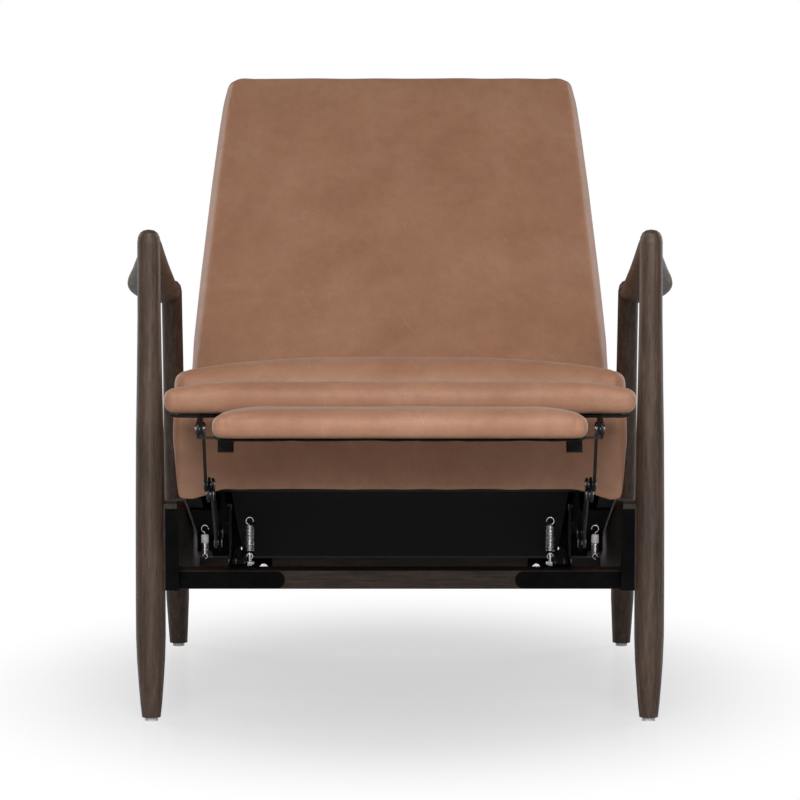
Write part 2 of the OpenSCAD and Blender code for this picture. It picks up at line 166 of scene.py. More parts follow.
def leather(name, crease=(14, 14, 14)):
    """Smooth tan leather: soft mottling, pebble grain, faint scratches and light pull marks."""
    s = Shader(name)
    clouds = s.noise((9, 9, 9), detail=4, distortion=0.5)
    tone = s.ramp(clouds, LEATHER_STOPS)
    patches = s.ramp(s.noise((60, 60, 60), detail=5, roughness=0.65), [(0.32, 0.90), (0.68, 1.08)])
    speckle = s.ramp(s.noise((420, 420, 420), detail=2), [(0.35, 0.93), (0.65, 1.06)])
    colour = s.mix("MULTIPLY", 0.75, tone, patches)
    colour = s.mix("MULTIPLY", 0.6, colour, speckle)
    scratch = s.noise((5, 130, 34), detail=2, turn=(0.2, 0.5, 0.7), distortion=0.9)
    scratch_fine = s.noise((150, 6, 22), detail=1, turn=(0.4, 0.3, 0.25), distortion=1.2)
    marks = s.join("ADD", s.ramp(scratch, [(0.70, 0.0), (0.74, 1.0)]),
                   s.ramp(scratch_fine, [(0.71, 0.0), (0.75, 1.0)]))
    colour = s.mix("MIX", s.join("MULTIPLY", marks, SCRATCH_SHOWS), colour, SCRATCH_SHADE)
    cells = s.add("ShaderNodeTexVoronoi", {"Vector": s.stretched((720, 720, 720)), "Scale": 1.0},
                  feature="DISTANCE_TO_EDGE").outputs["Distance"]
    pebble = s.bump(s.ramp(cells, [(0.0, 0.0), (0.18, 1.0)]), 0.16, 0.0003)
    pulls = s.noise(crease, detail=3, distortion=0.4)
    relief = s.bump(pulls, 0.22, 0.004, pebble)
    rough = s.ramp(patches, [(0.80, 0.66), (1.0, 0.54)])
    return s.finish(Base_Color=colour, Roughness=rough, Normal=relief, Sheen_Weight=0.16,
                    Sheen_Roughness=0.45, Specular_IOR_Level=0.42)


def powder_coat(name, smooth, dull, shine):
    """Black powder coat with a fine orange-peel surface, its roughness between two values."""
    s = Shader(name)
    peel = s.noise((900, 900, 900), detail=2)
    shade = s.ramp(s.noise((40, 40, 40), detail=4), [(0.35, 0.003), (0.7, 0.006)])
    rough = s.ramp(s.noise((60, 60, 60)), [(0.3, smooth), (0.7, dull)])
    return s.finish(Base_Color=shade, Roughness=rough, Metallic=0.0,
                    Normal=s.bump(peel, 0.25, 0.0002), Specular_IOR_Level=shine)


def bare_steel(name, fineness, detail, dark, light, dull, smooth):
    """Plated steel, slightly clouded: the darker patches are the duller ones."""
    s = Shader(name)
    cloud = s.noise((fineness, fineness, fineness), detail=detail)
    shade = s.ramp(cloud, [(0.3, dark), (0.7, light)])
    rough = s.ramp(cloud, [(0.3, dull), (0.7, smooth)])
    return s.finish(Base_Color=shade, Roughness=rough, Metallic=1.0,
                    Normal=s.bump(cloud, 0.1, 0.0002))


def cambric():
    """Thin black woven dust-cover cloth."""
    s = Shader("black_cambric")
    threads = {"Vector": s.stretched((850, 850, 850)), "Scale": 1.0, "Distortion": 0.4}
    warp = s.add("ShaderNodeTexWave", threads, bands_direction="X").outputs["Fac"]
    weft = s.add("ShaderNodeTexWave", threads, bands_direction="Y").outputs["Fac"]
    weave = s.join("MULTIPLY", warp, weft)
    shade = s.ramp(weave, [(0.0, 0.004), (1.0, 0.011)])
    slack = s.bump(s.noise((20, 20, 20), detail=3), 0.4, 0.004)
    return s.finish(Base_Color=shade, Roughness=0.93, Normal=s.bump(weave, 0.3, 0.0003, slack),
                    Specular_IOR_Level=0.12)


def plywood(name, dark, light, shine):
    """Rotary-cut plywood, its layers showing at the edges."""
    s = Shader(name)
    face = s.noise((9, 70, 70), detail=6, distortion=0.8)
    tone = s.ramp(face, [(0.3, dark), (0.7, light)])
    layers = s.ramp(s.noise((2, 2, 620), detail=0), [(0.45, 0.75), (0.55, 1.0)])
    return s.finish(Base_Color=s.mix("MULTIPLY", 0.6, tone, layers), Roughness=0.68,
                    Normal=s.bump(face, 0.2, 0.0004), Specular_IOR_Level=shine)


def glide_plastic():
    """Off-white hard plastic."""
    s = Shader("pale_nylon")
    cloud = s.noise((130, 130, 130), detail=3)
    shade = s.ramp(cloud, [(0.3, (0.62, 0.61, 0.60)), (0.7, (0.74, 0.73, 0.72))])
    rough = s.ramp(cloud, [(0.3, 0.30), (0.7, 0.44)])
    return s.finish(Base_Color=shade, Roughness=rough, Subsurface_Weight=0.05)


def plain_label():
    """Unprinted black satin ribbon for the sewn-in tags."""
    s = Shader("satin_label")
    weave = s.noise((60, 1400, 1400), detail=1)
    shade = s.ramp(weave, [(0.3, (0.008, 0.008, 0.008)), (0.7, (0.020, 0.020, 0.021))])
    return s.finish(Base_Color=shade, Roughness=0.62, Normal=s.bump(weave, 0.3, 0.0002),
                    Specular_IOR_Level=0.15)


WALNUT = {axis: walnut("walnut_" + axis, axis) for axis in "yz"}
# Darker copies of the same walnut are painted shade: for the rails and stretchers under the seat,
# and for the rear legs behind the chair.
WALNUT_SHADED = {axis: walnut("walnut_painted_shade_" + axis, axis, depth=0.52) for axis in "xy"}
WALNUT_REAR_SHADED = walnut("walnut_shaded_rear_legs", "z", depth=0.70)
HIDE = leather("tan_leather")
HIDE_PAD = leather("tan_leather_pulled", crease=(70, 16, 16))
BLACK = powder_coat("black_powder_coat", smooth=0.38, dull=0.50, shine=0.25)
BLACK_MATT = powder_coat("black_matt_coat", smooth=0.78, dull=0.88, shine=0.05)
ZINC = bare_steel("bright_zinc", fineness=260, detail=5, dark=(0.46, 0.46, 0.48),
                  light=(0.80, 0.80, 0.82), dull=0.34, smooth=0.20)
CLOTH = cambric()
RIVET = bare_steel("dark_rivet_steel", fineness=300, detail=4, dark=(0.05, 0.05, 0.052),
                   light=(0.15, 0.15, 0.155), dull=0.40, smooth=0.24)
PLY = plywood("birch_plywood", dark=(0.36, 0.24, 0.14), light=(0.55, 0.40, 0.25), shine=0.4)
PLY_BLACK = plywood("black_stained_plywood", dark=(0.003, 0.003, 0.003),
                    light=(0.007, 0.006, 0.006), shine=0.12)
NYLON = glide_plastic()
LABEL = plain_label()


def coat(material, *names):
    """Gives CAD nodes a finish."""
    for name in names:
        for held in nodes[name].material_slots:
            held.material = material


coat(WALNUT["z"], "front_leg_l", "front_leg_r")
# The rear legs take a darker walnut copy: painted shade for standing behind the chair.
coat(WALNUT_REAR_SHADED, "rear_leg_l", "rear_leg_r")
coat(WALNUT["y"], "arm_l", "arm_r")
# Side rails and stretchers take a darker walnut copy: painted shade for their place under the seat.
coat(WALNUT_SHADED["y"], "side_rail_l", "side_rail_r")
coat(WALNUT_SHADED["x"], "front_stretcher", "rear_stretcher")
coat(NYLON, "foot_glides")
coat(BLACK_MATT, "corner_brackets", "mechanism_base_l", "mechanism_base_r", "seat_side_plate_l",
     "seat_side_plate_r", "torque_tube")
coat(BLACK, "front_swing_links", "rear_swing_links", "lower_link_l", "lower_link_r",
     "lower_control_links", "mid_plates", "upper_link_l", "upper_link_r", "ottoman_bracket_l",
     "ottoman_bracket_r", "flipper_bracket_l", "flipper_bracket_r", "back_hinge_plate_l",
     "back_hinge_plate_r")
coat(RIVET, "base_rivets", "seat_rivets", "mid_rivets", "ottoman_rivets")
coat(ZINC, "stretcher_bolts", "tension_springs", "back_pivot_bolts")
coat(CLOTH, "seat_webbing", "dust_cover", "footrest_board", "flipper_board")
coat(PLY_BLACK, "seat_side_board_l", "seat_side_board_r", "seat_front_board", "seat_rear_board",
     "rear_corner_blocks")
coat(PLY, "back_hinge_blocks", "back_board")
coat(HIDE, "seat_cushion", "seat_apron", "seat_cheek_l", "seat_cheek_r", "footrest_cushion",
     "flipper_cushion", "back_cushion", "back_outer_panel")

EASED_EDGE = 1.6    # bevel of the boards' edges
BOARDS = ("side_rail_l", "side_rail_r", "front_stretcher", "rear_stretcher", "seat_side_board_l",
          "seat_side_board_r", "seat_front_board", "seat_rear_board", "rear_corner_blocks")

for board in BOARDS:
    edge = nodes[board].modifiers.new("eased_edges", "BEVEL")
    edge.width = EASED_EDGE * MM
    edge.segments = 3
    edge.limit_method = "ANGLE"
    edge.angle_limit = math.radians(50)
    edge.harden_normals = True


# ---- helpers for built pieces; sizes from here to the springs are in mm ----

def tilted(y, z, degrees):
    """Axes of a tilted part: its origin from the front legs' centre plane and the floor."""
    place = Matrix.Translation((0, LEG_Y + y * MM, z * MM))
    return place @ Matrix.Rotation(math.radians(-degrees), 4, "X")


SEAT = tilted(0, 305, 15)          # x across, y rearward along the seat, z square to it
PAD = tilted(-128, 434, 6)         # middle of the wide footrest pad
FLIP = tilted(-340, 423.5, 4)      # middle of the narrow footrest pad
BACK = tilted(480, 347, 45)        # x across, y into the back, z up along its face

TOUCH = 0.1         # a grid point this close to a wall or a seam line is on it
SEAM_ROOM = 0.45    # share of a cell that even grid lines keep from a seam's lines


def steps(low, high, cell, extra=()):
    """Coordinates from low to high about a cell apart, with extra ones where a seam runs."""
    count = max(1, round((high - low) / cell))
    even = [low + (high - low) * i / count for i in range(count + 1)]
    kept = [v for v in even[1:-1] if all(abs(v - e) > SEAM_ROOM * cell for e in extra)]
    return sorted([even[0], even[-1], *kept, *extra])


def seam_lines(at, gap):
    """Grid lines on two mirrored seams and a gap to each side of them."""
    return [side * (at + off) for side in (-1, 1) for off in (-gap, 0, gap)]


def box_skin(xs, ys, zs):
    """The six gridded walls of a box, as points and quads."""
    index = {}
    points = []

    def corner(i, j, k):
        if (i, j, k) not in index:
            index[i, j, k] = len(points)
            points.append(Vector((xs[i], ys[j], zs[k])))
        return index[i, j, k]

    last = (len(xs) - 1, len(ys) - 1, len(zs) - 1)
    quads = []
    for fixed in range(3):
        first, second = [axis for axis in range(3) if axis != fixed]
        for wall in (0, last[fixed]):
            for a in range(last[first]):
                for b in range(last[second]):
                    ring = []
                    for da, db in ((0, 0), (1, 0), (1, 1), (0, 1)):
                        at = [0, 0, 0]
                        at[fixed] = wall
                        at[first] = a + da
                        at[second] = b + db
                        ring.append(corner(*at))
                    quads.append(ring)
    return points, quads


def tube_faces(rings, sides):
    """Quads between rings of as many points each, and a face at either end."""
    faces = []
    for ring in range(rings - 1):
        here, there = ring * sides, (ring + 1) * sides
        for step in range(sides):
            after = (step + 1) % sides
            faces.append([here + step, here + after, there + after, there + step])
    faces.append(list(range(sides)))
    faces.append([(rings - 1) * sides + step for step in range(sides)])
    return faces


def rounded(p, low, high, radius):
    """A point of a box's wall, moved onto the same box with rounded edges."""
    inner = Vector([min(max(p[i], low[i] + radius[i]), high[i] - radius[i]) for i in range(3)])
    off = Vector([(p[i] - inner[i]) / radius[i] for i in range(3)])
    if off.length > 0:
        off = off / off.length
    return Vector([inner[i] + off[i] * radius[i] for i in range(3)])


def mesh_object(name, points, faces, material, place=None, smooth=True):
    """A new object from points and faces, placed by a matrix."""
    mesh = bpy.data.meshes.new(name)
    mesh.from_pydata([p * MM for p in points], [], faces)
    shape = bmesh.new()
    shape.from_mesh(mesh)
    bmesh.ops.recalc_face_normals(shape, faces=shape.faces)
    for face in shape.faces:
        face.smooth = smooth
    shape.to_mesh(mesh)
    shape.free()
    mesh.materials.append(material)
    made = bpy.data.objects.new(name, mesh)
    bpy.context.scene.collection.objects.link(made)
    if place is not None:
        made.matrix_world = place
    return made


def fit(piece, body, slot, *stands_for):
    """Hangs a finished piece on its body and hides the CAD nodes it stands for; its slot is not
    used.
    """
    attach(piece, body)
    if stands_for:
        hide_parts(*stands_for)


PUFF_FRAMES = 20
PUFF_PRESSURE = 4.0


def puff(piece, held, cap):
    """Swells a cushion as pressed cloth: held points stay, and no other moves more than cap."""
    group = piece.vertex_groups.new(name="held")
    group.add(held, 1.0, "REPLACE")
    cloth = piece.modifiers.new("puff", "CLOTH")
    cloth.settings.vertex_group_mass = group.name
    cloth.settings.use_pressure = True
    cloth.settings.uniform_pressure_force = PUFF_PRESSURE
    cloth.settings.effector_weights.gravity = 0
    cloth.settings.quality = 5
    cloth.point_cache.frame_start = 1
    cloth.point_cache.frame_end = PUFF_FRAMES
    for moment in range(1, PUFF_FRAMES + 1):
        bpy.context.scene.frame_set(moment)
    swollen = piece.evaluated_get(bpy.context.evaluated_depsgraph_get())
    reached = [v.co.copy() for v in swollen.data.vertices]
    piece.modifiers.remove(cloth)
    piece.vertex_groups.remove(group)
    for vertex, target in zip(piece.data.vertices, reached):
        step = target - vertex.co
        if step.length > cap * MM:
            step = step * (cap * MM / step.length)
        vertex.co += step
    bpy.context.scene.frame_set(1)


def soften(piece):
    """Smooths a piece once."""
    soft = piece.modifiers.new("smooth", "SUBSURF")
    soft.levels = soft.render_levels = 1


def sew(piece, seam, depth):
    """Sinks the seam points along their normals, then smooths the piece."""
    normals = [v.normal.copy() for v in piece.data.vertices]
    for index in seam:
        piece.data.vertices[index].co -= normals[index] * depth * MM
    soften(piece)


def smooth_step(value, low, high):
    """Rises smoothly from 0 at low to 1 at high."""
    t = min(max((value - low) / (high - low), 0.0), 1.0)
    return t * t * (3 - 2 * t)


SEED_STEP = 7.3


def wander(x, y, seed, size):
    """A slow repeatable wobble between about -1 and 1, for hand-made softness."""
    return noise.noise(Vector((x / size, y / size, seed * SEED_STEP)))


# ---- seat cushion ----

SEAT_HALF = 298.0
SEAT_LENGTH = 414.0
SEAT_BASE = 100.0       # top of the seat box
SEAT_TOP = 176.0
SEAT_CORNERS = (15, 24, 20)    # radii of the rounded edges along each axis
SEAT_SEAM_IN = 16       # the side seams, from the side walls
SEAT_DROOP = 19         # how much lower the top's sides are
SEAT_CROWN = 2          # how much higher its middle is
SEAT_SOFT = 1.2         # wobble of the top
SEAT_TAPER = 0.012      # narrower at the base by this share


def seat_cushion():
    """Crowned seat cushion, its top sinking to the sides past a seam."""
    low, high = (-SEAT_HALF, 0.0, SEAT_BASE), (SEAT_HALF, SEAT_LENGTH, SEAT_TOP)
    seam_x = SEAT_HALF - SEAT_SEAM_IN
    walls, quads = box_skin(steps(low[0], high[0], 9, seam_lines(seam_x, 3)),
                            steps(low[1], high[1], 9), steps(low[2], high[2], 8))
    points, held, seam = [], [], []
    for index, p in enumerate(walls):
        q = rounded(p, low, high, SEAT_CORNERS)
        lift = (q.z - SEAT_BASE) / (SEAT_TOP - SEAT_BASE)
        across = min(abs(q.x) / SEAT_HALF, 1.0)
        q.z -= lift * (SEAT_DROOP * across ** 3 - SEAT_CROWN)
        q.z += lift * SEAT_SOFT * wander(q.x, q.y, seed=1, size=90)
        q.x *= 1 - SEAT_TAPER * (1 - lift)
        points.append(q)
        if p.z < SEAT_BASE + TOUCH:
            held.append(index)
        if p.z > SEAT_TOP - TOUCH and abs(abs(p.x) - seam_x) < TOUCH:
            seam.append(index)
    piece = mesh_object("seat_cushion_cover", points, quads, HIDE, SEAT)
    puff(piece, held + seam, cap=4.0)
    sew(piece, seam, depth=1.6)
    fit(piece, "seat", "leather", "seat_cushion")


seat_cushion()


# ---- back cushion ----

# (height, half width) up the back; the grid is 2 * BACK_GRID wide before it takes this outline
BACK_HALF = [(-20, 296), (100, 299), (300, 289.5), (480, 279), (600, 270.5), (691, 262.5)]
BACK_GRID = 300.0
BACK_LOW = -20.0
BACK_TOP = 691.0
BACK_DEPTH = 103.0
BACK_CORNERS = (9, 10, 8)
BACK_SEAM_IN = 10        # side seams of the face, from the grid's sides
BACK_SEAM_DOWN = 9       # top seam of the face, from the top
BACK_EDGE = 4            # how far the face's edges lie behind its plane
BACK_CROWN = 5           # how far its middle stands forward of them
BACK_SOFT = 1.4          # wobble of the face
BACK_CORNER_DROP = 9     # how much lower the top's corners are
HINGE_TOP = 135          # below this and behind HINGE_FRONT the sides clear the hinge plates
HINGE_FRONT = 45
HINGE_HALF = 289


def back_half(v):
    """Half width of the back at height v, on straight runs between its stations."""
    for (v0, h0), (v1, h1) in zip(BACK_HALF, BACK_HALF[1:]):
        if v <= v1:
            return h0 + (h1 - h0) * max(v - v0, 0) / (v1 - v0)
    return BACK_HALF[-1][1]


def inside_hinges(q):
    """Pulls a point low on the back's side in to clear its hinge plate."""
    if q.z < HINGE_TOP and abs(q.x) > HINGE_HALF:
        q.x = math.copysign(HINGE_HALF, q.x)


def back_cushion():
    """Tapered back cushion, its face crowned inside a seam along the sides and the top."""
    low, high = (-BACK_GRID, 0.0, BACK_LOW), (BACK_GRID, BACK_DEPTH, BACK_TOP)
    seam_x, seam_v = BACK_GRID - BACK_SEAM_IN, BACK_TOP - BACK_SEAM_DOWN
    walls, quads = box_skin(steps(low[0], high[0], 10, seam_lines(seam_x, 3)),
                            steps(0, BACK_DEPTH, 9),
                            steps(low[2], high[2], 10, [seam_v - 3, seam_v, seam_v + 3]))
    points, held, seam = [], [], []
    for index, p in enumerate(walls):
        q = rounded(p, low, high, BACK_CORNERS)
        front = 1 - q.y / BACK_DEPTH
        crown = (1 - (q.x / BACK_GRID) ** 4) * smooth_step(q.z, -40, 90)
        soft = BACK_SOFT * wander(q.x, q.z, seed=2, size=150)
        q.y += front * (BACK_EDGE - BACK_CROWN * crown - soft)
        near_top = smooth_step(q.z, BACK_TOP - 40, BACK_TOP)
        corner = smooth_step(abs(q.x), 276, BACK_GRID) * smooth_step(q.z, BACK_TOP - 24, BACK_TOP)
        q.z -= BACK_CORNER_DROP * corner
        shoulder = 1.5 * smooth_step(abs(q.x), 225, 272)
        q.z += near_top * (shoulder + 0.8 * wander(q.x, 0, seed=3, size=60))
        q.x *= back_half(q.z) / BACK_GRID
        if q.y > HINGE_FRONT:
            inside_hinges(q)
        points.append(q)
        near_hinge = p.z < HINGE_TOP + 5 and p.y > HINGE_FRONT - 5
        if p.y > BACK_DEPTH - TOUCH or p.z < BACK_LOW + TOUCH or near_hinge:
            held.append(index)
        on_side_seam = abs(abs(p.x) - seam_x) < TOUCH and p.z < seam_v + TOUCH
        on_top_seam = abs(p.z - seam_v) < TOUCH and abs(p.x) < seam_x
        if p.y < TOUCH and (on_side_seam or on_top_seam):
            seam.append(index)
    piece = mesh_object("back_cushion_cover", points, quads, HIDE, BACK)
    puff(piece, held + seam, cap=5.0)
    sew(piece, seam, depth=0.9)
    fit(piece, "back", "leather", "back_cushion", "back_board")


back_cushion()


PANEL_THICK = 7
PANEL_TOP = BACK_TOP - 2
PANEL_SEAM_X = 284
PANEL_SEAM_DOWN = 15.5
PANEL_BULGE = 2.5
PANEL_CORNER_DROP = 10


def back_outer_panel():
    """Taut leather panel closing the back, with a rolled edge."""
    low = (-BACK_GRID, BACK_DEPTH, BACK_LOW)
    high = (BACK_GRID, BACK_DEPTH + PANEL_THICK, PANEL_TOP)
    seam_v = PANEL_TOP - PANEL_SEAM_DOWN
    walls, quads = box_skin(steps(low[0], high[0], 12, seam_lines(PANEL_SEAM_X, 2.5)),
                            steps(low[1], high[1], 3.5),
                            steps(low[2], high[2], 12, [seam_v - 2.5, seam_v, seam_v + 2.5]))
    points, seam = [], []
    for index, p in enumerate(walls):
        q = rounded(p, low, high, (5, 3.4, 5))
        rise = (q.z - BACK_LOW) / (PANEL_TOP - BACK_LOW)
        bulge = (1 - (q.x / BACK_GRID) ** 2) * math.sin(math.pi * rise)
        q.y += PANEL_BULGE * bulge * (q.y - BACK_DEPTH) / PANEL_THICK
        corner = smooth_step(abs(q.x), 268, BACK_GRID) * smooth_step(q.z, BACK_TOP - 26, BACK_TOP)
        q.z -= PANEL_CORNER_DROP * corner
        q.x *= (back_half(q.z) - 1) / BACK_GRID
        inside_hinges(q)
        points.append(q)
        on_side_seam = abs(abs(p.x) - PANEL_SEAM_X) < TOUCH and p.z < seam_v + 0.5
        on_top_seam = abs(p.z - seam_v) < TOUCH and abs(p.x) < PANEL_SEAM_X
        if p.y > high[1] - TOUCH and (on_side_seam or on_top_seam):
            seam.append(index)
    piece = mesh_object("back_outer_cover", points, quads, HIDE, BACK)
    sew(piece, seam, depth=1.2)
    fit(piece, "back", "leather", "back_outer_panel")


back_outer_panel()


# ---- seat front and side leather ----

APRON_HALF = 297.0
APRON_TOP = 101.0
APRON_THICK = 4.2
APRON_DIP = 13              # how much lower its edge hangs at the corners
APRON_CORNER = (232, 286)   # where across the seat the dip starts and is full
APRON_WRAP = 5              # how far the ends turn back round the box
APRON_TAPER = 0.028         # narrower at the lower edge by this share


def seat_apron():
    """Leather front of the seat box: wraps round its corners and dips over the lower corner."""
    low, high = (-APRON_HALF, 0, 0), (APRON_HALF, APRON_THICK, APRON_TOP)
    walls, quads = box_skin(steps(low[0], high[0], 7), [0.0, APRON_THICK / 2, APRON_THICK],
                            steps(0, APRON_TOP, 6))
    points = []
    for p in walls:
        q = rounded(p, low, high, (3.5, 2.0, 2.0))
        rise = q.z / APRON_TOP
        side = smooth_step(abs(q.x), *APRON_CORNER)
        hem = wander(q.x, 0, seed=5, size=28) + 2.2 * side * wander(q.x, 0, seed=6, size=7)
        q.z -= (1 - rise) * (APRON_DIP * side + hem)
        q.x *= 1 - APRON_TAPER * (1 - rise) ** 2
        wrap = smooth_step(abs(q.x), APRON_HALF - 9, APRON_HALF) ** 2
        q.y += 0.8 * (1 - rise) + APRON_WRAP * wrap
        q.y -= math.sin(math.pi * rise) * (1 - side)
        points.append(q)
    piece = mesh_object("seat_apron_cover", points, quads, HIDE, SEAT)
    soften(piece)
    fit(piece, "seat", "leather", "seat_apron")


CHEEK_XS = [284.3, 285.2, 286.2]    # the leather's thickness, from the board outward
CHEEK_TOP = 100.0
CHEEK_PAD = 10.6                    # padding behind the leather, high up near the front
CHEEK_LEAN = 0.6                    # the padding's rear edge leans back by this slope


def seat_cheek(side, mark):
    """Leather side of the seat box, outside its plywood board."""
    walls, quads = box_skin(CHEEK_XS, steps(3, 468, 9), steps(-3, CHEEK_TOP, 7))
    points = []
    for p in walls:
        outer = (p.x - CHEEK_XS[0]) / (CHEEK_XS[-1] - CHEEK_XS[0])
        lean = CHEEK_LEAN * (p.z - 40)
        pad = smooth_step(p.z, 26, 62) * (1 - smooth_step(p.y, 150 + lean, 260 + lean))
        out = outer * (CHEEK_PAD * pad + 0.5 * wander(p.y, p.z, seed=8, size=40))
        points.append(Vector((side * (p.x + out), p.y, p.z)))
    piece = mesh_object("seat_cheek_cover_" + mark, points, quads, HIDE, SEAT)
    soften(piece)
    fit(piece, "seat", "leather", "seat_cheek_" + mark)


GUSSET = [(221.3, -23), (225.4, -23), (225.4, -36), (230.5, -36), (230.5, 46), (221.3, 46)]
GUSSET_YS = (388, 389)


def cover_gusset(side, mark):
    """Gathered rear corner of the dust cover, standing in the gap inside the linkage plate."""
    points = [Vector((side * x, y + 0.6 * wander(x, z, seed=40, size=6), z))
              for y in GUSSET_YS for x, z in GUSSET]
    count = len(GUSSET)
    faces = [list(range(count)), list(range(count, 2 * count))]
    for step in range(count):
        after = (step + 1) % count
        faces.append([step, after, count + after, count + step])
    piece = mesh_object("cover_gusset_" + mark, points, faces, CLOTH, SEAT, smooth=False)
    fit(piece, "seat", "black_cloth")


seat_apron()
cover_gusset(1, "l")
cover_gusset(-1, "r")
seat_cheek(1, "l")
seat_cheek(-1, "r")


# ---- footrest pads ----

PAD_SEAM_IN = 15     # end seams, from the ends
PAD_BOARD = 12       # the leather is pulled tight round the board up to here
PAD_DROOP = 5.5      # how much lower the top is at its ends
PAD_LIFT = 1.5       # how much higher the underside is at its ends
PAD_SOFT = 0.8       # wobble of the top
PAD_WAVE = 0.9       # wobble of the long walls


def footrest_pad(name, place, half, length, low_z, high_z, nose, slope, body, stands_for, seed):
    """A leather pad pulled round its board: crowned top, sewn end panels.

    Its ends are rounded to the nose radius, and the top falls over the last slope of its length.
    """
    low, high = (-half, -length / 2, low_z), (half, length / 2, high_z)
    seam_x = half - PAD_SEAM_IN
    board_edge = low_z + PAD_BOARD
    tall = high_z - low_z
    walls, quads = box_skin(steps(low[0], high[0], 7, seam_lines(seam_x, 2.5)),
                            steps(low[1], high[1], 7), steps(low_z, high_z, 5, [board_edge]))
    points, held, seam = [], [], []
    for index, p in enumerate(walls):
        q = rounded(p, low, high, (nose, 13, 0.45 * tall))
        lift = (q.z - low_z) / tall
        q.z -= lift * PAD_DROOP * smooth_step(abs(q.x), half - slope, half)
        q.z += (1 - lift) * PAD_LIFT * smooth_step(abs(q.x), half - 20, half)
        q.z += lift * PAD_SOFT * wander(q.x, q.y, seed, size=60)
        q.y += PAD_WAVE * wander(q.x, q.z, seed + 1, size=45) * math.copysign(1, q.y)
        points.append(q)
        on_board_edge = abs(p.z - board_edge) < TOUCH and abs(p.y) > length / 2 - TOUCH
        if p.z < low_z + TOUCH or on_board_edge:
            held.append(index)
        if abs(abs(p.x) - seam_x) < TOUCH and p.z > board_edge:
            seam.append(index)
    piece = mesh_object(name, points, quads, HIDE_PAD, place)
    puff(piece, held + seam, cap=3.0)
    sew(piece, seam, depth=0.9)
    fit(piece, body, "leather", stands_for)


footrest_pad("footrest_pad_cover", PAD, half=295.5, length=206.0, low_z=-19.5, high_z=18.5, nose=13,
             slope=62, body="ottoman", stands_for="footrest_cushion", seed=11)
footrest_pad("flipper_pad_cover", FLIP, half=226.0, length=172.0, low_z=-17.0, high_z=17.0, nose=10,
             slope=30, body="flipper", stands_for="flipper_cushion", seed=21)

LINING_THICK = 0.8
LINING_RIM = 16      # the edge hangs slack over this width


def pad_lining(name, place, half, length, base, body, board):
    """Black cambric stapled under a pad, with a slack wavy edge."""
    walls, quads = box_skin(steps(-half, half, 7), steps(-length / 2, length / 2, 9),
                            [0.0, LINING_THICK])
    points = []
    for p in walls:
        sag = 1.5 + 0.8 * wander(p.x, 3, seed=31, size=24) + 0.5 * wander(p.x, p.y, seed=32, size=9)
        rim = smooth_step(abs(p.y), length / 2 - LINING_RIM, length / 2)
        y = p.y + 1.5 * wander(p.x, 0, seed=33, size=30)
        points.append(Vector((p.x, y, base - sag * rim - LINING_THICK + p.z)))
    piece = mesh_object(name, points, quads, CLOTH, place)
    fit(piece, body, "black_cloth", board)


pad_lining("footrest_lining", PAD, 287, 190, -20.0, "ottoman", "footrest_board")
pad_lining("flipper_lining", FLIP, 218, 158, -17.0, "flipper", "flipper_board")

TAG_XS = (206, 226)
TAG_Y = 84.4
TAG_ZS = (-38, -17.5)    # from its lower end to its stitches
TAG_THICK = 0.6
TAG_CURL = 5             # its lower end swings forward by this


def care_tags():
    """Two plain ribbon tags under the narrow pad's rear corners."""
    points, faces = [], []
    for side in (-1, 1):
        walls, quads = box_skin(steps(*TAG_XS, 4), [0.0, TAG_THICK], steps(*TAG_ZS, 3))
        start = len(points)
        for p in walls:
            fall = (TAG_ZS[1] - p.z) / (TAG_ZS[1] - TAG_ZS[0])
            ripple = 0.8 * wander(p.x, p.z, seed=50 + side, size=9)
            points.append(Vector((side * p.x, TAG_Y + p.y - TAG_CURL * fall ** 2 + ripple, p.z)))
        faces += [[start + corner for corner in ring] for ring in quads]
    piece = mesh_object("care_ribbons", points, faces, LABEL, FLIP)
    fit(piece, "flipper", "black_cloth", "care_tags")
    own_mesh(piece)


care_tags()


# ---- arms ----

# stations along the arm: (y, x, width, z, thickness, lean in degrees)
ARM = [(2, 326, 28, 624, 33, 4), (70, 328, 30, 617, 33, 8), (155, 332, 36, 601, 33, 12),
       (265, 339, 51, 576, 32, 14), (375, 345.5, 67, 551, 30, 12), (475, 344, 61, 534, 27, 8),
       (556, 338, 48, 524, 24, 6)]
ARM_RINGS = 60
ARM_SIDES = 32
ARM_FULLNESS = 0.9    # below 1, the section is fuller than an ellipse


def fuller(value):
    """A cosine or sine, swollen so that the section it draws is fuller."""
    return math.copysign(abs(value) ** ARM_FULLNESS, value)


def between(rows, t):
    """Smooth (Catmull-Rom) value of each column at t, counted in rows."""
    i = min(int(t), len(rows) - 2)
    f = t - i
    a, b, c, d = (rows[min(max(i + off, 0), len(rows) - 1)] for off in (-1, 0, 1, 2))
    return [0.5 * (2 * q + (r - p) * f + (2 * p - 5 * q + 4 * r - s) * f * f
                   + (3 * q - p - 3 * r + s) * f ** 3) for p, q, r, s in zip(a, b, c, d)]


def arm(side, mark):
    """Carved arm: a slim neck behind the front leg that broadens to a paddle and narrows again."""
    points = []
    for ring in range(ARM_RINGS + 1):
        y, x, width, z, thick, slope = between(ARM, (len(ARM) - 1) * ring / ARM_RINGS)
        lean = math.tan(math.radians(slope))
        for step in range(ARM_SIDES):
            turn = 2 * math.pi * step / ARM_SIDES
            out = fuller(math.cos(turn)) * width / 2
            up = fuller(math.sin(turn)) * thick / 2
            points.append(Vector((side * (x + out), y + up * lean + LEG_Y / MM, z + up)))
    faces = tube_faces(ARM_RINGS + 1, ARM_SIDES)
    piece = mesh_object("arm_carved_" + mark, points, faces, WALNUT["y"])
    fit(piece, "frame", "walnut", "arm_" + mark)


arm(1, "l")
arm(-1, "r")


# ---- springs ----

WIRE_SIDES = 8
TURNED_SIDES = 24
COIL_STEPS = 18    # points in a turn of a spring


